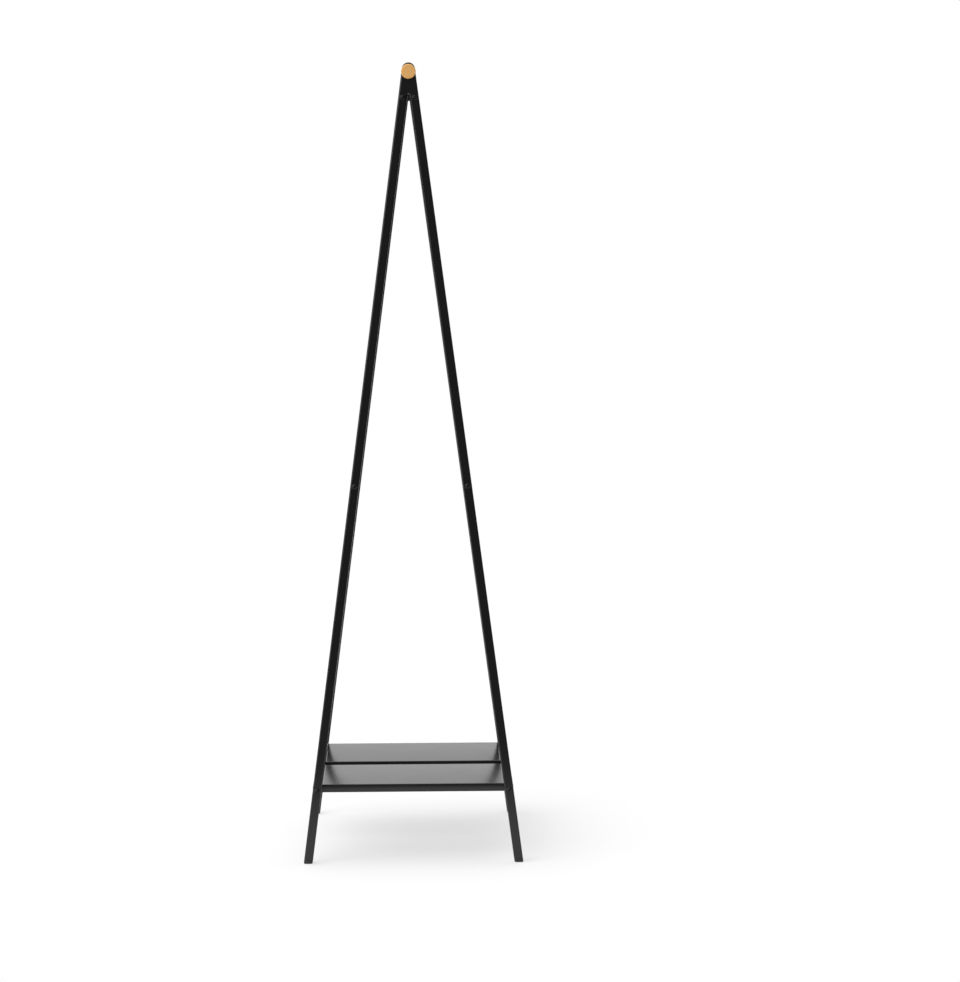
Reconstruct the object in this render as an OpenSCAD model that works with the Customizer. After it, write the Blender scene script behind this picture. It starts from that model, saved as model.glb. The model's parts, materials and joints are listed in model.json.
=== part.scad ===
// Valet stand: a knock-down A-frame clothes stand. Two end frames of square steel tube carry
// a wooden hanging rod at the top and two folded sheet-steel trays near the floor.
// Z is up, the rod runs along Y, and X runs across the A. The origin is on the floor, at the
// middle of the stand. The front frame is at -Y and the left legs are at -X.

/* [Stand] */
// Height over the apex brackets
stand_h = 1700; // [1200:10:2200]
// Width over the feet, at the floor
base_w = 470; // [340:5:640]
// Length over the outer faces of the two end frames
stand_l = 620; // [400:5:1000]
// Height at which each leg comes apart
leg_joint_z = 817; // [500:1:1000]

/* [Tube] */
// Side of the square steel tube
tube = 19; // [15:0.5:26]
// Wall of the tube
tube_wall = 1.5; // [1:0.1:2]
// Outside corner radius of the tube
tube_corner = 3; // [2.2:0.1:4]
// Gap on each side of a plug that slides into the tube
plug_gap = 0.15; // [0.05:0.05:0.3]

/* [Apex] */
// Radius of the bracket's rounded top
apex_r = 14; // [11:0.5:20]
// How far the bracket reaches below the point where the legs' inner faces meet
bracket_web = 12; // [6:1:30]
// Length of the two stubs that plug into the upper legs
stub_l = 38; // [25:1:60]

/* [Hanging rod] */
// Diameter of the wooden rod
rod_d = 30; // [24:0.5:36]
// Depth of the rod's axis below the top of the stand
rod_drop = 19; // [15:0.5:24]
// Diameter of the wooden end cap
cap_d = 31; // [26:0.5:38]
// Thickness of the end cap
cap_t = 5; // [4:0.5:8]
// Radius on the end cap's outer edge
cap_edge = 1.8; // [0.5:0.1:3]
// Diameter of the end cap's spigot
spigot_d = 16; // [14:0.5:18]
// Length of the end cap's spigot
spigot_l = 4; // [3:0.5:5]
// Diameter of the threaded insert in each end of the rod
insert_d = 10; // [9:0.5:12]
// Length of the threaded insert
insert_l = 25; // [18:1:35]

/* [Shelf] */
// Height of the trays' top faces, level with the rails
shelf_z = 166.5; // [90:0.5:400]
// Open gap between the two trays
tray_gap = 42; // [10:1:90]
// Gap between a tray and its end frame
tray_end_gap = 12; // [4:1:30]
// Depth of the lip folded down round each tray
tray_lip = 17; // [14:0.5:19]
// Thickness of the trays' steel sheet
sheet_t = 1.2; // [0.8:0.1:2]
// Outside radius of the trays' folds
fold_r = 2.4; // [2.1:0.1:4]
// Gap between a tray and the rail beside it
tray_fit = 0.2; // [0.1:0.1:0.6]
// Distance of the outer tray screws from the tray's ends
screw_inset = 38; // [20:1:60]

/* [Feet and plugs] */
// Height of the plastic foot under the leg tube
foot_h = 9; // [6:0.5:16]
// Length of the foot's stem in the tube
foot_stem = 22; // [14:1:35]
// Gap on each side between the stem and the tube
stem_gap = 0.65; // [0.4:0.05:1]
// Wall of the foot's hollow stem
stem_wall = 2; // [1.4:0.1:2.6]
// Number of gripping fins on the stem
stem_fins = 3; // [2:1:4]
// Thickness of a fin
fin_t = 1; // [0.6:0.1:1.6]
// Gap on each side between the fins and the tube
fin_gap = 0.05; // [0.02:0.01:0.1]
// Length of the coupler inside each leg
coupler_l = 84; // [50:2:140]
// Length of the threaded plug in each end of a rail
rail_plug_l = 16; // [10:1:30]

/* [Fasteners] */
// Bolt thread diameter
bolt_d = 6; // [5:0.5:6.5]
// Diameter of the bolts' button heads
head_d = 12; // [10:0.5:13]
// Height of the button heads
head_h = 3.3; // [2.6:0.1:3.8]
// Hexagon socket, across the flats
socket_af = 4; // [3:0.5:5]
// Depth of the hexagon socket
socket_h = 2; // [1.5:0.1:2.2]
// Extra diameter of a clearance hole
hole_play = 0.5; // [0.3:0.1:1]
// Extra diameter of a threaded hole
thread_play = 0.1; // [0.05:0.05:0.2]
// Distance from a tube joint to the bolt that holds it
bolt_inset = 9; // [8:0.5:16]
// Length under the head of the bolts in the legs
leg_bolt_l = 14; // [10:1:16]
// Length under the head of the bolts that enter the rails
rail_bolt_l = 32; // [30:1:45]
// Length under the head of the bolts that enter the rod
rod_bolt_l = 26; // [24:1:35]
// Tray screw diameter
screw_d = 3.5; // [3:0.5:5]
// Diameter of the tray screws' heads
screw_head_d = 7; // [6:0.5:9]
// Height of the tray screws' heads
screw_head_h = 2.1; // [1.8:0.1:3]
// Length of the tray screws under the head
screw_l = 7; // [6:0.5:10]
// Hexagon socket of the tray screws, across the flats
screw_socket_af = 2; // [2:0.5:3]
// Depth of the tray screws' socket
screw_socket_h = 1.2; // [1:0.1:1.5]

/* [Hidden] */
$fn = 64;
LEFT = -1;
RIGHT = 1;
FRONT = -1;
BACK = 1;
SIDES = [LEFT, RIGHT];
ENDS = [FRONT, BACK];

// Finishes
BLACK_STEEL = "#232426";
BLACK_PLASTIC = "#161617";
BOLT_BLACK = "#1b1b1c";
OAK = "#d9a462";
BRASS = "#b8923f";

// A cut starts and ends this far outside the solid that it passes through
cut = 1;

// The outer faces of the legs run from the feet to the rounded top of the bracket, and touch it
apex_z = stand_h - apex_r;
leg_angle = acos(apex_r / norm([base_w / 2, apex_z])) - atan2(apex_z, base_w / 2);
leg_foot_x = base_w / 2 - tube / 2 / cos(leg_angle);
// Height at which the legs' inner faces meet
inner_meet_z = (base_w / 2 - tube / cos(leg_angle)) / tan(leg_angle);

// Y of the legs' centre lines and of their inner faces, on the back frame
frame_y = stand_l / 2 - tube / 2;
inner_y = stand_l / 2 - tube;

// Distances along a leg, measured up its axis from the floor
leg_top = (inner_meet_z - bracket_web) / cos(leg_angle);
leg_joint = leg_joint_z / cos(leg_angle);
leg_bottom = foot_h;

plug_side = tube - 2 * tube_wall - 2 * plug_gap;
plug_corner = tube_corner - tube_wall - plug_gap;

rod_z = stand_h - rod_drop;
// Free space between the rod bolt's head and the cap's spigot
head_room = 1.5;
cap_socket_l = spigot_l + head_h + head_room;
// Gap round the threaded insert in the rod
insert_gap = 0.05;

rail_z = shelf_z - tube / 2;
rail_x = leg_foot_x - rail_z * tan(leg_angle);
rail_on_leg = rail_z / cos(leg_angle);

tray_w = 2 * (rail_x - tube / 2 - tray_fit);
tray_l = inner_y - tray_end_gap - tray_gap / 2;
tray_y = (tray_gap + tray_l) / 2;
// The screws sit midway down the part of the rail that the lip covers
screw_z = shelf_z - tray_lip / 2 - sheet_t / 2;
screw_ys = [for (s = [-1, 1]) s * (tray_l / 2 - screw_inset)];

// A square with round corners, centred
module rounded_square(side, r) {
    square([side - 2 * r, side], center = true);
    square([side, side - 2 * r], center = true);
    for (x = [-1, 1], y = [-1, 1])
        translate([x * (side / 2 - r), y * (side / 2 - r)]) circle(r);
}

// A square tube standing on the XY plane
module square_tube(l) {
    linear_extrude(l) difference() {
        rounded_square(tube, tube_corner);
        rounded_square(tube - 2 * tube_wall, tube_corner - tube_wall);
    }
}

// A square plug that slides into the tube
module square_plug(l) {
    linear_extrude(l) rounded_square(plug_side, plug_corner);
}

// Mirrors its children to the left side or to the front end; they are drawn for the back right
module at_corner(side, end) {
    mirror([side < 0 ? 1 : 0, 0, 0]) mirror([0, end < 0 ? 1 : 0, 0]) children();
}

// Puts its children on a leg: Z runs up the leg's axis from the floor, and +Y faces outwards
module on_leg(side, end) {
    at_corner(side, end) translate([leg_foot_x, frame_y, 0]) rotate([0, -leg_angle, 0]) children();
}

// Turns its children's Z axis to +Y
module face_out() {
    rotate([-90, 0, 0]) children();
}

// A button-head screw: its head stands on the XY plane and its shank hangs below. The head has
// a short straight rim, and a dome whose flat top is half as wide as the head.
module button_screw(d, l, hd, hh, af, sh) {
    rim = hh / 4;
    dome = hh - rim;
    top_r = hd / 4;
    sphere_z = (dome * dome + top_r * top_r - hd * hd / 4) / (2 * dome);
    sphere_r = norm([hd / 2, sphere_z]);
    tip = d / 8;
    difference() {
        union() {
            intersection() {
                translate([0, 0, rim + sphere_z]) sphere(sphere_r, $fn = 2 * $fn);
                cylinder(d = hd, h = hh);
            }
            translate([0, 0, tip - l]) cylinder(d = d, h = l);
            translate([0, 0, -l]) cylinder(d1 = d - 2 * tip, d2 = d, h = tip);
        }
        translate([0, 0, hh - sh]) cylinder(d = af / cos(30), h = sh + cut, $fn = 6);
    }
}

module bolt(l) {
    button_screw(bolt_d, l, head_d, head_h, socket_af, socket_h);
}

// A round hole along Y through the outer wall of a leg tube, at a distance up the leg
module outer_wall_hole(s) {
    translate([0, tube / 2 - tube_wall - cut, s]) face_out()
        cylinder(d = bolt_d + hole_play, h = tube_wall + 2 * cut);
}

// A threaded hole along Y right through a plug inside a leg
module plug_hole(s) {
    translate([0, -tube / 2, s]) face_out() cylinder(d = bolt_d + thread_play, h = tube);
}

module upper_leg(side, end) {
    color(BLACK_STEEL) on_leg(side, end) difference() {
        translate([0, 0, leg_joint]) square_tube(leg_top - leg_joint);
        outer_wall_hole(leg_top - bolt_inset);
    }
}

module lower_leg(side, end) {
    color(BLACK_STEEL) on_leg(side, end) difference() {
        translate([0, 0, leg_bottom]) square_tube(leg_joint - leg_bottom);
        outer_wall_hole(leg_joint - bolt_inset);
        translate([0, -tube / 2 - cut, rail_on_leg]) face_out()
            cylinder(d = bolt_d + hole_play, h = tube + 2 * cut);
    }
}

// The coupler is fixed in the upper leg, and the lower leg slides over it and is bolted
module coupler(side, end) {
    color(BLACK_STEEL) on_leg(side, end) difference() {
        translate([0, 0, leg_joint - coupler_l / 2]) square_plug(coupler_l);
        plug_hole(leg_joint - bolt_inset);
    }
}

// The foot's sole lies flat on the floor, although the leg leans. Its hollow stem grips the tube
// with its fins.
module foot(side, end) {
    stem_side = tube - 2 * (tube_wall + stem_gap);
    fin_step = (foot_stem - fin_t) / (stem_fins + 1);
    color(BLACK_PLASTIC) difference() {
        on_leg(side, end) difference() {
            union() {
                translate([0, 0, -tube / 2]) linear_extrude(leg_bottom + tube / 2)
                    rounded_square(tube, tube_corner);
                translate([0, 0, leg_bottom - cut]) linear_extrude(foot_stem + cut)
                    rounded_square(stem_side, plug_corner);
                for (i = [1:stem_fins])
                    translate([0, 0, leg_bottom + i * fin_step]) linear_extrude(fin_t)
                        rounded_square(tube - 2 * (tube_wall + fin_gap), plug_corner);
            }
            translate([0, 0, leg_bottom]) linear_extrude(foot_stem + cut)
                square(stem_side - 2 * stem_wall, center = true);
        }
        // Everything below the floor
        translate([-base_w, -stand_l, -2 * tube]) cube([2 * base_w, 2 * stand_l, 2 * tube]);
    }
}

// A disc with a rounded rim, centred on the XY plane
module rounded_disc(r, h, edge) {
    rotate_extrude() {
        translate([0, -h / 2]) square([r - edge, h]);
        translate([0, edge - h / 2]) square([r, h - 2 * edge]);
        for (y = [-1, 1]) translate([r - edge, y * (h / 2 - edge)]) circle(edge);
    }
}

// One solid block at the apex of an end frame, with a stub for each leg. Its edges are rounded
// like the tube's, so that the legs run on from it.
module apex_bracket(end) {
    seat_t = 1;
    color(BLACK_STEEL) difference() {
        union() {
            hull() {
                at_corner(RIGHT, end) translate([0, frame_y, apex_z]) face_out()
                    rounded_disc(apex_r, tube, tube_corner, $fn = 48);
                for (side = SIDES) on_leg(side, end) translate([0, 0, leg_top])
                    linear_extrude(seat_t) rounded_square(tube, tube_corner, $fn = 32);
            }
            for (side = SIDES) on_leg(side, end) translate([0, 0, leg_top - stub_l])
                square_plug(stub_l + seat_t);
        }
        at_corner(RIGHT, end) translate([0, frame_y, rod_z]) face_out() {
            translate([0, 0, -tube]) cylinder(d = bolt_d + hole_play, h = 2 * tube);
            translate([0, 0, tube / 2 - cap_socket_l])
                cylinder(d = spigot_d + thread_play, h = cap_socket_l + cut);
        }
        for (side = SIDES) on_leg(side, end) plug_hole(leg_top - bolt_inset);
    }
}

// The end cap hides the rod's bolt; its spigot presses into the bracket
module rod_cap(end) {
    color(OAK) at_corner(RIGHT, end) translate([0, stand_l / 2, rod_z]) face_out() {
        rotate_extrude() {
            square([cap_d / 2 - cap_edge, cap_t]);
            square([cap_d / 2, cap_t - cap_edge]);
            translate([cap_d / 2 - cap_edge, cap_t - cap_edge]) circle(cap_edge);
        }
        translate([0, 0, -spigot_l]) cylinder(d = spigot_d, h = spigot_l + cut);
    }
}

module hanging_rod() {
    color(OAK) translate([0, 0, rod_z]) difference() {
        translate([0, -inner_y, 0]) face_out() cylinder(d = rod_d, h = 2 * inner_y);
        for (end = ENDS) at_corner(RIGHT, end) translate([0, inner_y - insert_l, 0]) face_out()
            cylinder(d = insert_d + 2 * insert_gap, h = insert_l + cut);
    }
}

module rod_inserts() {
    color(BRASS) for (end = ENDS)
        at_corner(RIGHT, end) translate([0, inner_y - insert_l, rod_z]) face_out() difference() {
            cylinder(d = insert_d, h = insert_l);
            translate([0, 0, -cut]) cylinder(d = bolt_d + thread_play, h = insert_l + 2 * cut);
        }
}

// The rails join the two end frames and carry the trays between them
module rail(side) {
    color(BLACK_STEEL) at_corner(side, BACK) difference() {
        translate([rail_x, -inner_y, rail_z]) face_out() square_tube(2 * inner_y);
        for (end = ENDS, y = screw_ys)
            translate([rail_x - tube / 2 - cut, end * tray_y + y, screw_z]) rotate([0, 90, 0])
                cylinder(d = screw_d + thread_play, h = tube_wall + 2 * cut);
    }
}

module rail_plug(side, end) {
    color(BLACK_STEEL) at_corner(side, end)
        translate([rail_x, inner_y - rail_plug_l, rail_z]) face_out() difference() {
            square_plug(rail_plug_l);
            translate([0, 0, -cut]) cylinder(d = bolt_d + thread_play, h = rail_plug_l + 2 * cut);
        }
}

// The outline of a tray's fold: flat at the foot and rounded at the two top corners
module fold_outline(w, h, r) {
    translate([-w / 2, 0]) square([w, h - r]);
    translate([-w / 2 + r, 0]) square([w - 2 * r, h]);
    for (x = [-1, 1]) translate([x * (w / 2 - r), h - r]) circle(r);
}

// A block whose four top edges are rounded
module folded_block(w, l, h, r) {
    intersection() {
        translate([0, l / 2, 0]) rotate([90, 0, 0]) linear_extrude(l) fold_outline(w, h, r);
        rotate([0, 0, 90]) translate([0, w / 2, 0]) rotate([90, 0, 0])
            linear_extrude(w) fold_outline(l, h, r);
    }
}

module shelf_tray(end) {
    color(BLACK_STEEL) at_corner(RIGHT, end)
        translate([0, tray_y, shelf_z - tray_lip]) difference() {
            folded_block(tray_w, tray_l, tray_lip, fold_r);
            translate([0, 0, -cut]) folded_block(tray_w - 2 * sheet_t, tray_l - 2 * sheet_t,
                tray_lip - sheet_t + cut, fold_r - sheet_t);
            for (y = screw_ys)
                translate([-tray_w, y, screw_z - shelf_z + tray_lip]) rotate([0, 90, 0])
                    cylinder(d = screw_d + hole_play, h = 2 * tray_w);
        }
}

module tray_screws() {
    color(BOLT_BLACK) for (side = SIDES, end = ENDS, y = screw_ys)
        at_corner(side, end) translate([tray_w / 2 - sheet_t, tray_y + y, screw_z])
            rotate([0, -90, 0])
                button_screw(screw_d, screw_l, screw_head_d, screw_head_h, screw_socket_af,
                    screw_socket_h);
}

module apex_bolts() {
    color(BOLT_BLACK) for (side = SIDES, end = ENDS)
        on_leg(side, end) translate([0, tube / 2, leg_top - bolt_inset]) face_out() bolt(leg_bolt_l);
}

module leg_joint_bolts() {
    color(BOLT_BLACK) for (side = SIDES, end = ENDS)
        on_leg(side, end) translate([0, tube / 2, leg_joint - bolt_inset]) face_out() bolt(leg_bolt_l);
}

module rail_bolts() {
    color(BOLT_BLACK) for (side = SIDES, end = ENDS)
        on_leg(side, end) translate([0, tube / 2, rail_on_leg]) face_out() bolt(rail_bolt_l);
}

module rod_bolts() {
    color(BOLT_BLACK) for (end = ENDS)
        at_corner(RIGHT, end) translate([0, stand_l / 2 - cap_socket_l, rod_z]) face_out()
            bolt(rod_bolt_l);
}

hanging_rod();
rod_cap(FRONT);  // front_rod_cap
rod_cap(BACK);  // back_rod_cap
apex_bracket(FRONT);  // front_apex_bracket
apex_bracket(BACK);  // back_apex_bracket
upper_leg(LEFT, FRONT);  // front_left_upper_leg
upper_leg(RIGHT, FRONT);  // front_right_upper_leg
upper_leg(LEFT, BACK);  // back_left_upper_leg
upper_leg(RIGHT, BACK);  // back_right_upper_leg
lower_leg(LEFT, FRONT);  // front_left_lower_leg
lower_leg(RIGHT, FRONT);  // front_right_lower_leg
lower_leg(LEFT, BACK);  // back_left_lower_leg
lower_leg(RIGHT, BACK);  // back_right_lower_leg
coupler(LEFT, FRONT);  // front_left_coupler
coupler(RIGHT, FRONT);  // front_right_coupler
coupler(LEFT, BACK);  // back_left_coupler
coupler(RIGHT, BACK);  // back_right_coupler
foot(LEFT, FRONT);  // front_left_foot
foot(RIGHT, FRONT);  // front_right_foot
foot(LEFT, BACK);  // back_left_foot
foot(RIGHT, BACK);  // back_right_foot
rail(LEFT);  // left_rail
rail(RIGHT);  // right_rail
rail_plug(LEFT, FRONT);  // front_left_rail_plug
rail_plug(RIGHT, FRONT);  // front_right_rail_plug
rail_plug(LEFT, BACK);  // back_left_rail_plug
rail_plug(RIGHT, BACK);  // back_right_rail_plug
shelf_tray(FRONT);  // front_shelf_tray
shelf_tray(BACK);  // back_shelf_tray
apex_bolts();
leg_joint_bolts();
rail_bolts();
rod_bolts();
rod_inserts();
tray_screws();
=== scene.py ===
"""Looks for the valet stand: materials, finished pieces, studio floor, lights and camera."""
import json
import math

import bmesh
import bpy
from mathutils import Matrix, Vector


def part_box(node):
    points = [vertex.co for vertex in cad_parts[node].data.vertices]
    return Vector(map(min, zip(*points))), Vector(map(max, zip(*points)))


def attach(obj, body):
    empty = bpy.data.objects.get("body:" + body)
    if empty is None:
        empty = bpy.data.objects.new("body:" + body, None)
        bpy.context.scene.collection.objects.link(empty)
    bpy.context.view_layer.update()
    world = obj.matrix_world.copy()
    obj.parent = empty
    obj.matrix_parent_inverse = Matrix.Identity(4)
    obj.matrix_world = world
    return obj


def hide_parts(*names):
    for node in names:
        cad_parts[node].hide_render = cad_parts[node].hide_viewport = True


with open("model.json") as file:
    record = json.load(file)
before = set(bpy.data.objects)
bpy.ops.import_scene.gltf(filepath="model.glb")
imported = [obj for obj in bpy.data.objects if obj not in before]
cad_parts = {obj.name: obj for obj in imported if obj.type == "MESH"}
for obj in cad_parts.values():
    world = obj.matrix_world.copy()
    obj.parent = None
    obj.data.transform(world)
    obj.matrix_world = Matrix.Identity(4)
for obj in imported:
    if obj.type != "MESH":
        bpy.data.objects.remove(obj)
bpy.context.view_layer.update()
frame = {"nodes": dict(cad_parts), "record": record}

MM = 0.001
ENDS = {"front": -1, "back": 1}
SIDES = {"left": -1, "right": 1}


# ---------------------------------------------------------------- camera

# The camera's place is in metres, its turns in degrees, and its lens in millimetres
CAMERA_PLACE = (0.0088, -7.712, 1.4374)
CAMERA_YAW = 1.06
CAMERA_PITCH = 4.94
CAMERA_ROLL = -0.29
CAMERA_LENS = 128.64
SENSOR_WIDTH = 36.0
FAR_CLIP = 100.0


def make_camera():
    """The camera stands in front of the near end frame and looks along the hanging rod."""
    data = bpy.data.cameras.new("camera")
    data.sensor_width = SENSOR_WIDTH
    data.lens = CAMERA_LENS
    data.clip_end = FAR_CLIP
    camera = bpy.data.objects.new("camera", data)
    bpy.context.scene.collection.objects.link(camera)
    turn = (
        Matrix.Rotation(math.radians(-CAMERA_YAW), 4, "Z")
        @ Matrix.Rotation(math.radians(90 - CAMERA_PITCH), 4, "X")
        @ Matrix.Rotation(math.radians(CAMERA_ROLL), 4, "Z")
    )
    camera.matrix_world = Matrix.Translation(CAMERA_PLACE) @ turn
    bpy.context.scene.camera = camera


# ---------------------------------------------------------------- the design, read from the frame

# Sizes that the design has, and that the frame's boxes do not give by themselves
TUBE = 19 * MM
TUBE_CORNER = 3 * MM
SHEET_T = 1.2 * MM
FOLD_R = 2.4 * MM
# The foot's stem, inside the leg, and the fins that grip the tube. A half is half of a width.
STEM_L = 22 * MM
STEM_HALF = 7.35 * MM
STEM_CORNER = 1.35 * MM
STEM_HOLLOW = 5.35 * MM
FIN_HALF = 7.95 * MM
FIN_T = 1.0 * MM
FIN_STEP = 5.25 * MM
FIN_COUNT = 3


def leg_line(end, side):
    """A leg's lean, the X of its axis at the floor, its Y, and how far up the axis its tube starts."""
    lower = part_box(f"{end}_{side}_lower_leg")
    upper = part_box(f"{end}_{side}_upper_leg")
    outer = 0 if SIDES[side] < 0 else 1
    # The two tubes' outer corners lie on one line, which leans as the leg does
    lean = math.atan2(abs(lower[outer][0] - upper[outer][0]), upper[0][2] - lower[0][2])
    start = (lower[0][2] + TUBE / 2 * math.sin(lean)) / math.cos(lean)
    foot_x = abs(lower[outer][0]) - TUBE / 2 * math.cos(lean) + start * math.sin(lean)
    return lean, foot_x, (lower[0][1] + lower[1][1]) / 2, start


# ---------------------------------------------------------------- shader helpers

class Shader:
    """A short way to write a node material: each call adds a node and returns its main output."""

    def __init__(self, name):
        self.material = bpy.data.materials.new(name)
        self.material.use_nodes = True
        self.tree = self.material.node_tree
        self.bsdf = self.tree.nodes["Principled BSDF"]
        self.place = self.node("TexCoord").outputs["Object"]

    def node(self, kind, **settings):
        made = self.tree.nodes.new("ShaderNode" + kind)
        for key, value in settings.items():
            setattr(made, key, value)
        return made

    def feed(self, socket, value):
        if isinstance(value, bpy.types.NodeSocket):
            self.tree.links.new(value, socket)
        else:
            socket.default_value = value

    def set(self, **values):
        """Sets or links the shader's own sockets; an underscore in a name stands for a space."""
        for key, value in values.items():
            self.feed(self.bsdf.inputs[key.replace("_", " ")], value)

    def math(self, operation, a, b=0.0):
        made = self.node("Math", operation=operation)
        self.feed(made.inputs[0], a)
        self.feed(made.inputs[1], b)
        return made.outputs[0]

    def stretch(self, scale):
        """The object's own coordinates, scaled apart along X, Y and Z."""
        made = self.node("Mapping")
        self.feed(made.inputs["Vector"], self.place)
        made.inputs["Scale"].default_value = scale
        return made.outputs[0]

    def noise(self, scale, detail, rough=0.5, place=None):
        """Smooth noise from 0 to 1. Its scale is how many features it has in a metre, or, in
        stretched coordinates, in each unit of them."""
        made = self.node("TexNoise")
        self.feed(made.inputs["Vector"], place or self.place)
        made.inputs["Scale"].default_value = scale
        made.inputs["Detail"].default_value = detail
        made.inputs["Roughness"].default_value = rough
        return made.outputs["Fac"]

    def span(self, value, low, high, to_low=0.0, to_high=1.0):
        """Maps low..high to to_low..to_high, and stays at those ends outside."""
        made = self.node("MapRange", clamp=True)
        self.feed(made.inputs["Value"], value)
        for key, number in zip(("From Min", "From Max", "To Min", "To Max"), (low, high, to_low, to_high)):
            self.feed(made.inputs[key], number)
        return made.outputs["Result"]

    def mix(self, share, a, b):
        """The colour a, with a share of the colour b."""
        made = self.node("Mix", data_type="RGBA")
        self.feed(made.inputs["Factor"], share)
        self.feed(made.inputs["A"], a)
        self.feed(made.inputs["B"], b)
        return made.outputs["Result"]

    def bump(self, height, distance, strength):
        """Roughens the surface; a height of 1 stands distance metres above a height of 0."""
        made = self.node("Bump")
        made.inputs["Strength"].default_value = strength
        made.inputs["Distance"].default_value = distance
        self.feed(made.inputs["Height"], height)
        self.feed(self.bsdf.inputs["Normal"], made.outputs["Normal"])


def grey(value, warm=0.0):
    """A grey, or one that leans towards red by the share that warm gives."""
    return (value * (1 + warm), value, value * (1 - warm), 1.0)


# ---------------------------------------------------------------- materials

# How high the relief of each finish stands
PEEL_DEPTH = 0.01 * MM
OXIDE_DEPTH = 0.01 * MM
TOOL_DEPTH = 0.01 * MM
GRAIN_DEPTH = 0.02 * MM
WOOD_DEPTH = 0.06 * MM


def powder_coat(name, albedo, roughness):
    """Satin black powder coat: a fine orange peel, with a faint cloudiness in its gloss."""
    s = Shader(name)
    cloud = s.noise(scale=14.0, detail=3.0)
    speck = s.noise(scale=2600.0, detail=1.0)
    peel = s.noise(scale=900.0, detail=2.0, rough=0.45)
    dark, light = grey(albedo * 0.85), grey(albedo * 1.2)
    cloudiness = 0.012
    s.set(Base_Color=s.mix(s.span(speck, 0.35, 0.75), dark, light))
    s.set(Roughness=s.span(cloud, 0.3, 0.7, roughness - cloudiness, roughness + cloudiness))
    s.bump(peel, PEEL_DEPTH, strength=0.15)
    return s.material


# Where the oak's growth rings are centred, seen along the rod, how far apart they are, and how
# far they wander
PITH = (-0.021, 0.0, 1.650)
RING_STEP = 2.6 * MM
RING_WANDER = 9 * MM

# The oak's colours
OAK_PALE = (0.93, 0.51, 0.162, 1.0)
OAK_DEEP = (0.76, 0.38, 0.10, 1.0)
OAK_FIBRE = (0.76, 0.42, 0.14, 1.0)
OAK_RAY = (0.93, 0.62, 0.27, 1.0)
OAK_PORE = (0.34, 0.16, 0.05, 1.0)


def oak(name):
    """Pale oak with a satin lacquer. The rings, pores and rays are solid, so the end grain shows on
    the caps and the long grain on the rod."""
    s = Shader(name)
    apart = s.node("SeparateXYZ")
    s.feed(apart.inputs[0], s.place)
    along = apart.outputs["Y"]
    across = s.math("SUBTRACT", apart.outputs["X"], PITH[0])
    up = s.math("SUBTRACT", apart.outputs["Z"], PITH[2])
    reach = s.math("SQRT", s.math("ADD", s.math("MULTIPLY", across, across), s.math("MULTIPLY", up, up)))
    turn = s.math("ARCTAN2", up, across)

    # A ring starts with a dark band of pores and pales towards its end
    wander = s.noise(scale=11.0, detail=3.0, place=s.stretch((1.0, 0.12, 1.0)))
    bend = s.math("MULTIPLY", s.math("SUBTRACT", wander, 0.5), RING_WANDER)
    ring = s.math("FRACT", s.math("DIVIDE", s.math("ADD", reach, bend), RING_STEP))
    early = s.span(ring, 0.0, 0.38, 1.0, 0.0)
    late = s.span(ring, 0.86, 1.0)
    band = s.math("MAXIMUM", early, late)

    # Fibres and pores are drawn out along the rod, and rays run outwards from the pith
    fibre = s.noise(scale=1.0, detail=3.0, rough=0.6, place=s.stretch((1500.0, 45.0, 1500.0)))
    pores = s.noise(scale=1.0, detail=1.0, place=s.stretch((2300.0, 90.0, 2300.0)))
    pits = s.math("MULTIPLY", s.span(pores, 0.60, 0.68), s.span(band, 0.15, 0.8))
    rays = s.node("CombineXYZ")
    s.feed(rays.inputs[0], s.math("MULTIPLY", turn, 22.0))
    s.feed(rays.inputs[1], s.math("MULTIPLY", along, 60.0))
    s.feed(rays.inputs[2], s.math("MULTIPLY", reach, 18.0))
    flecks = s.span(s.noise(scale=1.0, detail=2.0, place=rays.outputs[0]), 0.60, 0.72)

    base = s.mix(s.math("MULTIPLY", band, 0.62), OAK_PALE, OAK_DEEP)
    base = s.mix(s.span(fibre, 0.35, 0.75, 0.0, 0.35), base, OAK_FIBRE)
    base = s.mix(s.math("MULTIPLY", flecks, 0.30), base, OAK_RAY)
    base = s.mix(s.math("MULTIPLY", pits, 0.55), base, OAK_PORE)
    s.set(Base_Color=base, Coat_Weight=0.25, Coat_Roughness=0.22, Coat_IOR=1.5)
    s.set(Roughness=s.span(fibre, 0.3, 0.7, 0.42, 0.55), Specular_IOR_Level=0.4)
    relief = s.math("SUBTRACT", s.math("MULTIPLY", fibre, 0.35), pits)
    s.bump(relief, WOOD_DEPTH, strength=0.5)
    return s.material


def black_oxide(name):
    """Oiled black oxide on screw steel: dark and half dull, with worn brown-grey specks."""
    s = Shader(name)
    wear = s.noise(scale=260.0, detail=4.0, rough=0.6)
    oxide, worn = grey(0.005), (0.014, 0.012, 0.010, 1.0)
    s.set(Base_Color=s.mix(s.span(wear, 0.55, 0.8), oxide, worn))
    s.set(Roughness=s.span(wear, 0.3, 0.7, 0.32, 0.42), Specular_IOR_Level=0.3)
    s.bump(s.noise(scale=1800.0, detail=2.0), OXIDE_DEPTH, strength=0.4)
    return s.material


def tooled_metal(name, dark, light, stretch, detail, gloss):
    """Bare metal with fine tool marks; gloss is its lowest and highest roughness."""
    s = Shader(name)
    marks = s.noise(scale=1.0, detail=detail, place=s.stretch(stretch))
    s.set(Base_Color=s.mix(marks, dark, light), Metallic=1.0)
    s.set(Roughness=s.span(marks, 0.3, 0.7, gloss[0], gloss[1]))
    s.bump(marks, TOOL_DEPTH, strength=0.3)
    return s.material


def bare_steel(name):
    """Machined steel with marks that lie level."""
    return tooled_metal(name, grey(0.30), grey(0.42, 0.02), (300.0, 300.0, 9000.0), 2.0, (0.28, 0.42))


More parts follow.
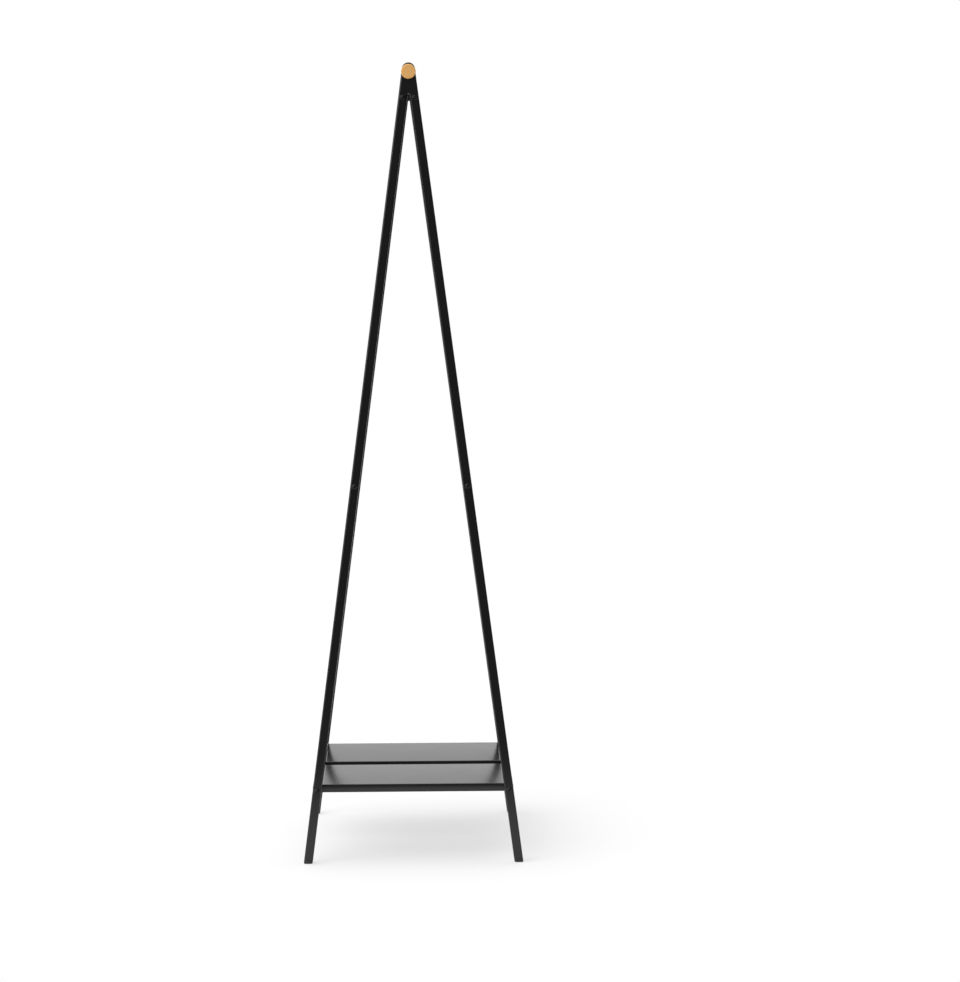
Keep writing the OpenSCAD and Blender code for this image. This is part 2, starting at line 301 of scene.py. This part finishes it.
def turned_brass(name):
    """Turned brass with faint lathe lines across the rod's axis."""
    dark, light = (0.50, 0.34, 0.10, 1.0), (0.62, 0.44, 0.16, 1.0)
    return tooled_metal(name, dark, light, (200.0, 12000.0, 200.0), 1.0, (0.22, 0.34))


def moulded_plastic(name):
    """Black polyethylene with a fine moulded grain and scuffed lighter spots."""
    s = Shader(name)
    scuff = s.noise(scale=120.0, detail=4.0, rough=0.65)
    s.set(Base_Color=s.mix(s.span(scuff, 0.55, 0.85), grey(0.006), grey(0.011)))
    s.set(Roughness=s.span(scuff, 0.3, 0.7, 0.32, 0.42))
    s.bump(s.noise(scale=2200.0, detail=2.0), GRAIN_DEPTH, strength=0.4)
    return s.material


# How much light the black coats scatter
BLACK = 0.0060

MATERIALS = {
    "powder_coat": powder_coat("powder_coat", BLACK, roughness=0.22),
    "tray_coat": powder_coat("tray_coat", BLACK, roughness=0.20),
    "bolt_black": black_oxide("bolt_black"),
    "plug_steel": bare_steel("plug_steel"),
    "foot_plastic": moulded_plastic("foot_plastic"),
    "insert_brass": turned_brass("insert_brass"),
    "oak": oak("oak"),
}


def dress_cad():
    """Gives every CAD node the material of its slot."""
    for row in frame["record"]["subparts"]:
        node = frame["nodes"][row["node"]]
        for material_slot in node.material_slots:
            material_slot.material = MATERIALS[row["material_slot"]]


# Edges sharper than this are rounded, with so many steps; faces that turn by less than the flat
# angle are joined into one; corners nearer than the gap are one corner
EDGE_ANGLE = math.radians(32)
EDGE_STEPS = 2
FLAT_ANGLE = math.radians(0.5)
SPLIT_GAP = 0.001 * MM
# How much more a large face counts in the shading than a small one
LARGE_FACE_WEIGHT = 80
# How wide the rounding is on the legs and brackets, and on the rails
FRAME_EDGE = 0.35 * MM
RAIL_EDGE = 0.3 * MM


def soften(piece, width):
    """Rounds a CAD piece's sharp edges a little, as a coat of powder does, and shades it smooth. All
    of it is in modifiers, so the mesh's own corners stay where they are."""
    mesh = piece.data
    if mesh.has_custom_normals:
        mesh.attributes.remove(mesh.attributes["custom_normal"])
    mesh.polygons.foreach_set("use_smooth", [True] * len(mesh.polygons))
    weld = piece.modifiers.new("join", "WELD")
    weld.merge_threshold = SPLIT_GAP
    # Long thin triangles beside a hole would fold over once its edge is rounded
    flat = piece.modifiers.new("flat", "DECIMATE")
    flat.decimate_type = "DISSOLVE"
    flat.angle_limit = FLAT_ANGLE
    bevel = piece.modifiers.new("edge", "BEVEL")
    bevel.width = width
    bevel.segments = EDGE_STEPS
    bevel.limit_method = "ANGLE"
    bevel.angle_limit = EDGE_ANGLE
    # The flat faces keep their own normals up to the rounding, so that they shade flat
    bevel.face_strength_mode = "FSTR_AFFECTED"
    shade = piece.modifiers.new("shade", "WEIGHTED_NORMAL")
    shade.keep_sharp = False
    shade.use_face_influence = True
    shade.weight = LARGE_FACE_WEIGHT


def soften_steel():
    """The coated steel has hair-fine round edges, so that two pieces show a seam where they meet."""
    for end in ENDS:
        soften(frame["nodes"][f"{end}_apex_bracket"], FRAME_EDGE)
        for side in SIDES:
            soften(frame["nodes"][f"{end}_{side}_upper_leg"], FRAME_EDGE)
            soften(frame["nodes"][f"{end}_{side}_lower_leg"], FRAME_EDGE)
    for side in SIDES:
        soften(frame["nodes"][f"{side}_rail"], RAIL_EDGE)


# ---------------------------------------------------------------- mesh helpers

# Edges sharper than this stay sharp in the shading
SMOOTH_ANGLE = math.radians(35)
JOIN_GAP = 0.002 * MM
CORNER_STEPS = 5
LATHE_SIDES = 96


def finish_piece(name, form, slot, *nodes):
    """Turns a bmesh into a shaded piece that stands for its CAD nodes."""
    bmesh.ops.remove_doubles(form, verts=form.verts, dist=JOIN_GAP)
    bmesh.ops.recalc_face_normals(form, faces=form.faces)
    mesh = bpy.data.meshes.new(name)
    form.to_mesh(mesh)
    form.free()
    mesh.polygons.foreach_set("use_smooth", [True] * len(mesh.polygons))
    mesh.set_sharp_from_angle(angle=SMOOTH_ANGLE)
    mesh.materials.append(MATERIALS[slot])
    piece = bpy.data.objects.new(name, mesh)
    bpy.context.scene.collection.objects.link(piece)
    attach(piece, "root")
    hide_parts(*nodes)
    return piece


def loft(form, loops):
    """A closed skin over loops of equally many points, with a flat cap on the first and the last."""
    rows = [[form.verts.new(point) for point in loop] for loop in loops]
    count = len(rows[0])
    for low, high in zip(rows, rows[1:]):
        for k in range(count):
            after = (k + 1) % count
            form.faces.new((low[k], low[after], high[after], high[k]))
    form.faces.new(rows[0][::-1])
    form.faces.new(rows[-1])


def arc(steps, start=0.0, end=90.0):
    """Evenly spaced angles in radians, with both ends."""
    return [math.radians(start + (end - start) * k / steps) for k in range(steps + 1)]


def round_square(half, corner):
    """The outline of a square with round corners, as (u, v) points."""
    points = []
    for quarter in range(4):
        cosine = math.cos(math.radians(90 * quarter))
        sine = math.sin(math.radians(90 * quarter))
        for angle in arc(CORNER_STEPS):
            u = half - corner + corner * math.cos(angle)
            v = half - corner + corner * math.sin(angle)
            points.append((u * cosine - v * sine, u * sine + v * cosine))
    return points


def around(sides):
    """The angles of a ring's points."""
    return [2 * math.pi * k / sides for k in range(sides)]


def facing(place, way, twist=0.0):
    """A matrix at place whose Z points along way, turned about it by twist degrees."""
    turn = Vector(way).to_track_quat("Z", "Y").to_matrix().to_4x4()
    return Matrix.Translation(place) @ turn @ Matrix.Rotation(math.radians(twist), 4, "Z")


def lathe(form, profile, place, sides=LATHE_SIDES):
    """Turns a profile of (radius, distance) pairs about place, a matrix whose Z is the axis. The
    profile's first and last rings are capped."""
    loops = []
    for radius, along in profile:
        points = [(radius * math.cos(angle), radius * math.sin(angle), along) for angle in around(sides)]
        loops.append([place @ Vector(point) for point in points])
    loft(form, loops)


# ---------------------------------------------------------------- feet

# The roundings of a foot's lower edge and of its edge at the tube, and the steps in each
SOLE_R = 3.8 * MM
SOLE_STEPS = 7
SOLE_CORNER = 0.8 * MM
SEAM_R = 0.35 * MM
SEAM_STEPS = 3
STEM_EDGE = 0.2 * MM


def foot(end, side):
    """A moulded foot: its sole lies flat, its lower edge is well rounded, and its stem grips the tube."""
    lean, foot_x, leg_y, start = leg_line(end, side)
    cosine, sine = math.cos(lean), math.sin(lean)

    def place(u, v, s):
        return (SIDES[side] * (foot_x + u * cosine - s * sine), leg_y + v, s * cosine + u * sine)

    def square_loop(half, corner, s):
        return [place(u, v, s) for u, v in round_square(half, corner)]

    def sole_loop(inset, height):
        outline = round_square(TUBE / 2 - inset, max(TUBE_CORNER - inset, SOLE_CORNER))
        return [place(u, v, (height - u * sine) / cosine) for u, v in outline]

    loops = [sole_loop(SOLE_R + SOLE_CORNER, 0.0)]
    for angle in arc(SOLE_STEPS, 90.0, 0.0):
        loops.append(sole_loop(SOLE_R * (1 - math.cos(angle)), SOLE_R * (1 - math.sin(angle))))
    for angle in arc(SEAM_STEPS):
        inset = SEAM_R * (1 - math.cos(angle))
        height = start - SEAM_R * (1 - math.sin(angle))
        loops.append(square_loop(TUBE / 2 - inset, TUBE_CORNER - inset, height))
    loops.append(square_loop(STEM_HALF, STEM_CORNER, start))
    for k in range(1, FIN_COUNT + 1):
        low = start + k * FIN_STEP
        high = low + FIN_T
        loops.append(square_loop(STEM_HALF, STEM_CORNER, low))
        loops.append(square_loop(FIN_HALF - STEM_EDGE, STEM_CORNER, low))
        loops.append(square_loop(FIN_HALF, STEM_CORNER, low + STEM_EDGE))
        loops.append(square_loop(FIN_HALF, STEM_CORNER, high - STEM_EDGE))
        loops.append(square_loop(FIN_HALF - STEM_EDGE, STEM_CORNER, high))
        loops.append(square_loop(STEM_HALF, STEM_CORNER, high))
    top = start + STEM_L
    loops.append(square_loop(STEM_HALF, STEM_CORNER, top - STEM_EDGE))
    loops.append(square_loop(STEM_HALF - STEM_EDGE, STEM_CORNER, top))
    loops.append(square_loop(STEM_HOLLOW, STEM_CORNER / 2, top))
    loops.append(square_loop(STEM_HOLLOW, STEM_CORNER / 2, start))
    form = bmesh.new()
    loft(form, loops)
    finish_piece(f"{end}_{side}_foot_piece", form, "foot_plastic", f"{end}_{side}_foot")


# ---------------------------------------------------------------- screws

SCREW_SIDES = 36
# Rings of points in one turn of a thread
THREAD_STEPS = 4
# Sizes of a thread, as shares of its pitch
THREAD_DEPTH = 0.6
THREAD_NECK = 1.2
THREAD_FILLET = 0.3
# Steps in the head's dome
DOME_STEPS = 7


def hexagon(across_flats, angle):
    """The radius of a hexagon's outline at an angle."""
    return across_flats / 2 / math.cos((angle + math.pi / 6) % (math.pi / 3) - math.pi / 6)


def even(radius, along):
    """A round ring, as a (radius, distance) pair for each of its points."""
    return [(radius, along)] * SCREW_SIDES


def shank_rings(thread_d, length, pitch):
    """A screw's rings from its tip to the underside of its head, with a helical thread."""
    crest = thread_d / 2
    root = crest - THREAD_DEPTH * pitch
    tip = thread_d / 8
    bottom = tip / 2 - length
    rings = [even(root - tip / 2, -length), even(root, bottom)]
    turns = (-bottom - THREAD_NECK * pitch) / pitch
    steps = int(turns * THREAD_STEPS)
    for k in range(1, steps):
        along = bottom + k * pitch / THREAD_STEPS
        # The thread starts and ends in a taper of one turn
        depth = min(1.0, k / THREAD_STEPS, (steps - k) / THREAD_STEPS)
        row = []
        for angle in around(SCREW_SIDES):
            phase = (along / pitch - angle / (2 * math.pi)) % 1.0
            row.append((root + (crest - root) * depth * (1 - abs(2 * phase - 1)), along))
        rings.append(row)
    rings.append(even(root, -THREAD_NECK * pitch))
    rings.append(even(root + THREAD_FILLET * pitch, -THREAD_FILLET * pitch))
    rings.append(even(crest, 0))
    return rings


def head_rings(head_d, head_h, socket_af, socket_h):
    """A button head's rings from its underside, over its dome, and down into its hexagon socket."""
    rim_h, soft = head_h / 4, head_d / 60
    rings = [even(head_d / 2 - soft, 0), even(head_d / 2, soft), even(head_d / 2, rim_h)]
    # The dome is part of a sphere, up to a flat that is half as wide as the head
    dome, flat_r = head_h - rim_h, head_d / 4
    centre = (dome ** 2 + flat_r ** 2 - head_d ** 2 / 4) / (2 * dome)
    ball = math.hypot(head_d / 2, centre)
    low, high = math.asin(-centre / ball), math.asin((dome - centre) / ball)
    for k in range(1, DOME_STEPS + 1):
        angle = low + (high - low) * k / DOME_STEPS
        rings.append(even(ball * math.cos(angle), rim_h + centre + ball * math.sin(angle)))
    chamfer = socket_af / 14
    for out, height in ((chamfer, head_h), (0, head_h - chamfer), (0, head_h - socket_h)):
        rings.append([(hexagon(socket_af, angle) + out, height) for angle in around(SCREW_SIDES)])
    # The drill left a cone at the bottom
    rings.append(even(socket_af / 3, head_h - socket_h))
    rings.append(even(socket_af / 20, head_h - socket_h - socket_af / 9))
    return rings


def screw(form, place, thread_d, length, head_d, head_h, socket_af, socket_h, pitch):
    """A button-head screw with a chamfered hexagon socket and a true helical thread. Its head
    stands on place's XY plane, and its shank hangs below."""
    rings = shank_rings(thread_d, length, pitch) + head_rings(head_d, head_h, socket_af, socket_h)
    loops = []
    for row in rings:
        loop = []
        for angle, (radius, along) in zip(around(SCREW_SIDES), row):
            loop.append(place @ Vector((radius * math.cos(angle), radius * math.sin(angle), along)))
        loops.append(loop)
    loft(form, loops)


BOLT = {
    "thread_d": 6 * MM,
    "head_d": 12 * MM,
    "head_h": 3.3 * MM,
    "socket_af": 4 * MM,
    "socket_h": 2 * MM,
    "pitch": 1 * MM,
}
TRAY_SCREW = {
    "thread_d": 3.5 * MM,
    "head_d": 7 * MM,
    "head_h": 2.1 * MM,
    "socket_af": 2 * MM,
    "socket_h": 1.2 * MM,
    "pitch": 0.6 * MM,
}
LEG_BOLT_L = 14 * MM
RAIL_BOLT_L = 32 * MM
ROD_BOLT_L = 26 * MM
TRAY_SCREW_L = 7 * MM
# How far each bolt happened to stop turning, in degrees
TWISTS = (12, 41, 27, 55)


def leg_bolts(node, length):
    """The four bolts of a group, one on each leg. The group's box says where they are."""
    low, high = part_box(node)
    x, z = high[0] - BOLT["head_d"] / 2, high[2] - BOLT["head_d"] / 2
    form = bmesh.new()
    corners = [(side, end) for side in SIDES.values() for end in ENDS.values()]
    for (side, end), twist in zip(corners, TWISTS):
        seat = (side * x, end * (high[1] - BOLT["head_h"]), z)
        screw(form, facing(seat, (0, end, 0), twist), length=length, **BOLT)
    finish_piece(f"{node}_piece", form, "bolt_black", node)


def rod_bolts():
    """The bolt that holds each end of the rod, behind its cap."""
    low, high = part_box("rod_bolts")
    form = bmesh.new()
    for end, twist in zip(ENDS.values(), TWISTS):
        seat = (0, end * (high[1] - BOLT["head_h"]), (low[2] + high[2]) / 2)
        screw(form, facing(seat, (0, end, 0), twist), length=ROD_BOLT_L, **BOLT)
    finish_piece("rod_bolts_piece", form, "bolt_black", "rod_bolts")


def tray_screw_places(end):
    """The side, Y and Z of each of a tray's four screws."""
    low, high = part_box("tray_screws")
    tray_low, tray_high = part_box(f"{end}_shelf_tray")
    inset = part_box("back_shelf_tray")[1][1] - high[1] + TRAY_SCREW["head_d"] / 2
    z = (low[2] + high[2]) / 2
    return [(side, y, z) for y in (tray_low[1] + inset, tray_high[1] - inset) for side in SIDES.values()]


def tray_screws():
    """Two screws in each side lip of each tray, with their heads inside the tray."""
    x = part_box("tray_screws")[1][0] - TRAY_SCREW_L
    form = bmesh.new()
    for end in ENDS:
        for (side, y, z), twist in zip(tray_screw_places(end), 2 * TWISTS[:2]):
            place = facing((side * x, y, z), (-side, 0, 0), twist)
            screw(form, place, length=TRAY_SCREW_L, **TRAY_SCREW)
    finish_piece("tray_screws_piece", form, "bolt_black", "tray_screws")


# ---------------------------------------------------------------- trays

# How far each lip stops short of a corner, how round its lower edge is, and its screw holes
SLIT = 0.25 * MM
RIM_R = 0.35 * MM
RIM_STEPS = 3
FOLD_STEPS = 9
HOLE_R = 2.0 * MM
HOLE_SIDES = 36


def drill(piece, places):
    """Cuts a screw hole through a side lip at each place on its outer face."""
    form = bmesh.new()
    # The cutter starts half a sheet outside the lip and ends half a sheet inside it
    profile = [(HOLE_R, -SHEET_T / 2), (HOLE_R, SHEET_T * 3 / 2)]
    for place in places:
        lathe(form, profile, facing(place, (-place[0], 0, 0)), HOLE_SIDES)
    cutter_mesh = bpy.data.meshes.new("cutter")
    form.to_mesh(cutter_mesh)
    form.free()
    cutter = bpy.data.objects.new("cutter", cutter_mesh)
    bpy.context.scene.collection.objects.link(cutter)
    holes = piece.modifiers.new("holes", "BOOLEAN")
    holes.operation = "DIFFERENCE"
    holes.solver = "EXACT"
    holes.object = cutter
    depsgraph = bpy.context.evaluated_depsgraph_get()
    drilled = bpy.data.meshes.new_from_object(piece.evaluated_get(depsgraph))
    piece.modifiers.clear()
    piece.data = drilled
    drilled.set_sharp_from_angle(angle=SMOOTH_ANGLE)
    bpy.data.objects.remove(cutter)


def tray(end):
    """Folded sheet steel: four lips turned down over a round fold. The lips butt at the corners,
    where a hair-fine slit runs up to the fold."""
    node = f"{end}_shelf_tray"
    low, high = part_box(node)
    top, bottom = high[2], low[2]
    middle = ((low[0] + high[0]) / 2, (low[1] + high[1]) / 2)
    half = ((high[0] - low[0]) / 2, (high[1] - low[1]) / 2)
    form = bmesh.new()

    def profile(radius):
        """(reach beyond the fold line, height, share of the slit) down one face of a lip."""
        rows = []
        for a in arc(FOLD_STEPS):
            # The slit opens to its full width over the first radian of the fold
            rows.append((radius * math.sin(a), top - FOLD_R + radius * math.cos(a), min(1.0, a)))
        inward = 1 if radius < FOLD_R else -1
        for a in arc(RIM_STEPS):
            reach = radius + inward * RIM_R * (1 - math.cos(a))
            rows.append((reach, bottom + RIM_R * (1 - math.sin(a)), 1.0))
        return rows

    def side_rows(axis, sign, radius):
        """The two ends of each row of one face of a lip that looks along axis."""
        other = 1 - axis
        rows = []
        for reach, height, share in profile(radius):
            pair = []
            for tangent in (-1, 1):
                place = [0.0, 0.0, height]
                place[axis] = middle[axis] + sign * (half[axis] - FOLD_R + reach)
                place[other] = middle[other] + tangent * (half[other] - FOLD_R + reach - share * SLIT)
                pair.append(form.verts.new(place))
            rows.append(pair)
        return rows

    outer_ends, inner_ends = [], []
    for axis in (0, 1):
        for sign in (-1, 1):
            outer = side_rows(axis, sign, FOLD_R)
            inner = side_rows(axis, sign, FOLD_R - SHEET_T)
            outer_ends.append(outer[0])
            inner_ends.append(inner[0])
            for rows in (outer, inner):
                for first, after in zip(rows, rows[1:]):
                    form.faces.new((first[0], first[1], after[1], after[0]))
            # The lip's lower edge, and its two ends at the slits
            form.faces.new((outer[-1][0], outer[-1][1], inner[-1][1], inner[-1][0]))
            for k in range(len(outer) - 1):
                for t in (0, 1):
                    form.faces.new((outer[k][t], outer[k + 1][t], inner[k + 1][t], inner[k][t]))
    for ends in (outer_ends, inner_ends):
        # The panel's face: the first two rows are its edges at -X and +X
        form.faces.new((ends[0][0], ends[1][0], ends[1][1], ends[0][1]))
    piece = finish_piece(f"{node}_piece", form, "tray_coat", node)
    drill(piece, [(side * high[0], y, z) for side, y, z in tray_screw_places(end)])


# ---------------------------------------------------------------- wood

ROD_CHAMFER = 0.5 * MM
INSERT_L = 25 * MM
BORE_R = 5.05 * MM


def rod():
    """The hanging rod, with a fine chamfer and a bore for the threaded insert at each end."""
    low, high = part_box("hanging_rod")
    radius = (high[0] - low[0]) / 2
    bore_l = high[1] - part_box("rod_inserts")[1][1] + INSERT_L
    length = high[1] - low[1]
    place = facing(((low[0] + high[0]) / 2, low[1], (low[2] + high[2]) / 2), (0, 1, 0))
    profile = [
        (BORE_R, bore_l),
        (BORE_R, 0),
        (radius - ROD_CHAMFER, 0),
        (radius, ROD_CHAMFER),
        (radius, length - ROD_CHAMFER),
        (radius - ROD_CHAMFER, length),
        (BORE_R, length),
        (BORE_R, length - bore_l),
    ]
    form = bmesh.new()
    lathe(form, profile, place)
    finish_piece("hanging_rod_piece", form, "oak", "hanging_rod")


CAP_T = 5 * MM
CAP_EDGE = 1.8 * MM
CAP_EDGE_STEPS = 9
CAP_CHAMFER = 0.3 * MM
SPIGOT_R = 8 * MM
SPIGOT_CHAMFER = 0.4 * MM
# Two rings that divide the cap's flat face, as shares of its radius
FACE_RINGS = (0.05, 0.6)


def rod_cap(end):
    """A turned cap: a flat face, a rounded edge and a spigot. Its profile runs from the middle of
    the face, round the edge, to the spigot's end."""
    low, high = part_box(f"{end}_rod_cap")
    radius = (high[0] - low[0]) / 2
    face_y = high[1] if ENDS[end] > 0 else low[1]
    back, tip = -CAP_T, low[1] - high[1]
    place = facing(((low[0] + high[0]) / 2, face_y, (low[2] + high[2]) / 2), (0, ENDS[end], 0))
    profile = [(share * radius, 0) for share in FACE_RINGS]
    for a in arc(CAP_EDGE_STEPS):
        profile.append((radius - CAP_EDGE * (1 - math.sin(a)), -CAP_EDGE * (1 - math.cos(a))))
    profile += [(radius, back + CAP_CHAMFER), (radius - CAP_CHAMFER, back), (SPIGOT_R, back)]
    profile += [(SPIGOT_R, tip + SPIGOT_CHAMFER), (SPIGOT_R - SPIGOT_CHAMFER, tip)]
    form = bmesh.new()
    lathe(form, profile, place)
    finish_piece(f"{end}_rod_cap_piece", form, "oak", f"{end}_rod_cap")


def build_pieces():
    """Everything that is built here in place of its CAD node."""
    for end in ENDS:
        rod_cap(end)
        tray(end)
        for side in SIDES:
            foot(end, side)
    rod()
    rod_bolts()
    tray_screws()
    leg_bolts("apex_bolts", LEG_BOLT_L)
    leg_bolts("leg_joint_bolts", LEG_BOLT_L)
    leg_bolts("rail_bolts", RAIL_BOLT_L)


# ---------------------------------------------------------------- studio

# The floor's edges, in metres, the share of light it scatters, and its own faint light, which
# keeps it pale
FLOOR_FRONT = -1.15
FLOOR_BACK = 9.0
FLOOR_HALF = 6.0
FLOOR_ALBEDO = 0.36
FLOOR_ROUGHNESS = 0.9
FLOOR_GLOW = 0.60
# The key light comes from the front left; softness and turn are in degrees
SUN_STRENGTH = 2.42
SUN_SOFTNESS = 60.0
SUN_TURN = (65.0, 0.0, -40.0)
# The studio round the stand: its light in front and behind, and the Y of the directions between
# which one blends into the other
FRONT_LIGHT = 0.105
BACKDROP_LIGHT = 0.76
FRONT_TO_BACK = (-0.35, 0.35)
# The light overhead: the way to it, and the cosines of the angles to it between which it grows
TOP_LIGHT = 1.5
TOP_WAY = (-0.40, 0.42, 0.81)
TOP_EDGE = (0.35, 0.85)


def make_floor():
    """A plain pale floor. It ends in front of the stand, outside the picture, so that it does not
    light the legs' front faces."""
    mesh = bpy.data.meshes.new("floor")
    corners = [
        (-FLOOR_HALF, FLOOR_FRONT, 0), (FLOOR_HALF, FLOOR_FRONT, 0),
        (FLOOR_HALF, FLOOR_BACK, 0), (-FLOOR_HALF, FLOOR_BACK, 0),
    ]
    mesh.from_pydata(corners, [], [(0, 1, 2, 3)])
    floor = bpy.data.objects.new("floor", mesh)
    bpy.context.scene.collection.objects.link(floor)
    s = Shader("floor")
    s.set(Base_Color=grey(FLOOR_ALBEDO), Roughness=FLOOR_ROUGHNESS, Specular_IOR_Level=0.0)
    s.set(Emission_Color=grey(1.0), Emission_Strength=FLOOR_GLOW)
    mesh.materials.append(s.material)


def make_world():
    """A white studio: bright behind and above the stand, and dim in front of it. The camera itself
    sees plain white."""
    world = bpy.data.worlds.new("studio")
    world.use_nodes = True
    tree = world.node_tree
    nodes, links = tree.nodes, tree.links
    background = nodes["Background"]
    background.inputs["Color"].default_value = (1.0, 1.0, 1.0, 1.0)
    way = nodes.new("ShaderNodeTexCoord")
    axes = nodes.new("ShaderNodeSeparateXYZ")
    links.new(way.outputs["Generated"], axes.inputs[0])

    def ramp(source, low, high, to_low, to_high):
        """Maps low..high to to_low..to_high, with soft ends."""
        made = nodes.new("ShaderNodeMapRange")
        made.interpolation_type = "SMOOTHSTEP"
        links.new(source, made.inputs["Value"])
        for key, number in zip(("From Min", "From Max", "To Min", "To Max"), (low, high, to_low, to_high)):
            made.inputs[key].default_value = number
        return made.outputs["Result"]

    level = ramp(axes.outputs["Y"], *FRONT_TO_BACK, FRONT_LIGHT, BACKDROP_LIGHT)
    above = nodes.new("ShaderNodeVectorMath")
    above.operation = "DOT_PRODUCT"
    links.new(way.outputs["Generated"], above.inputs[0])
    above.inputs[1].default_value = TOP_WAY
    top = ramp(above.outputs["Value"], *TOP_EDGE, 0.0, TOP_LIGHT)
    total = nodes.new("ShaderNodeMath")
    total.operation = "MAXIMUM"
    links.new(level, total.inputs[0])
    links.new(top, total.inputs[1])
    seen = nodes.new("ShaderNodeLightPath")
    choose = nodes.new("ShaderNodeMix")
    links.new(seen.outputs["Is Camera Ray"], choose.inputs["Factor"])
    links.new(total.outputs[0], choose.inputs["A"])
    choose.inputs["B"].default_value = 1.0
    links.new(choose.outputs["Result"], background.inputs["Strength"])
    bpy.context.scene.world = world


def make_sun():
    """The soft key light."""
    data = bpy.data.lights.new("key", "SUN")
    data.energy = SUN_STRENGTH
    data.angle = math.radians(SUN_SOFTNESS)
    sun = bpy.data.objects.new("key", data)
    sun.rotation_euler = [math.radians(a) for a in SUN_TURN]
    bpy.context.scene.collection.objects.link(sun)


def make_studio():
    """The floor, the lights and a plain view transform."""
    make_floor()
    make_world()
    make_sun()
    view = bpy.context.scene.view_settings
    view.view_transform = "Standard"
    view.look = "None"
    view.exposure = 0.0
    view.gamma = 1.0


# ---------------------------------------------------------------- the scene

make_camera()
make_studio()
dress_cad()
soften_steel()
build_pieces()
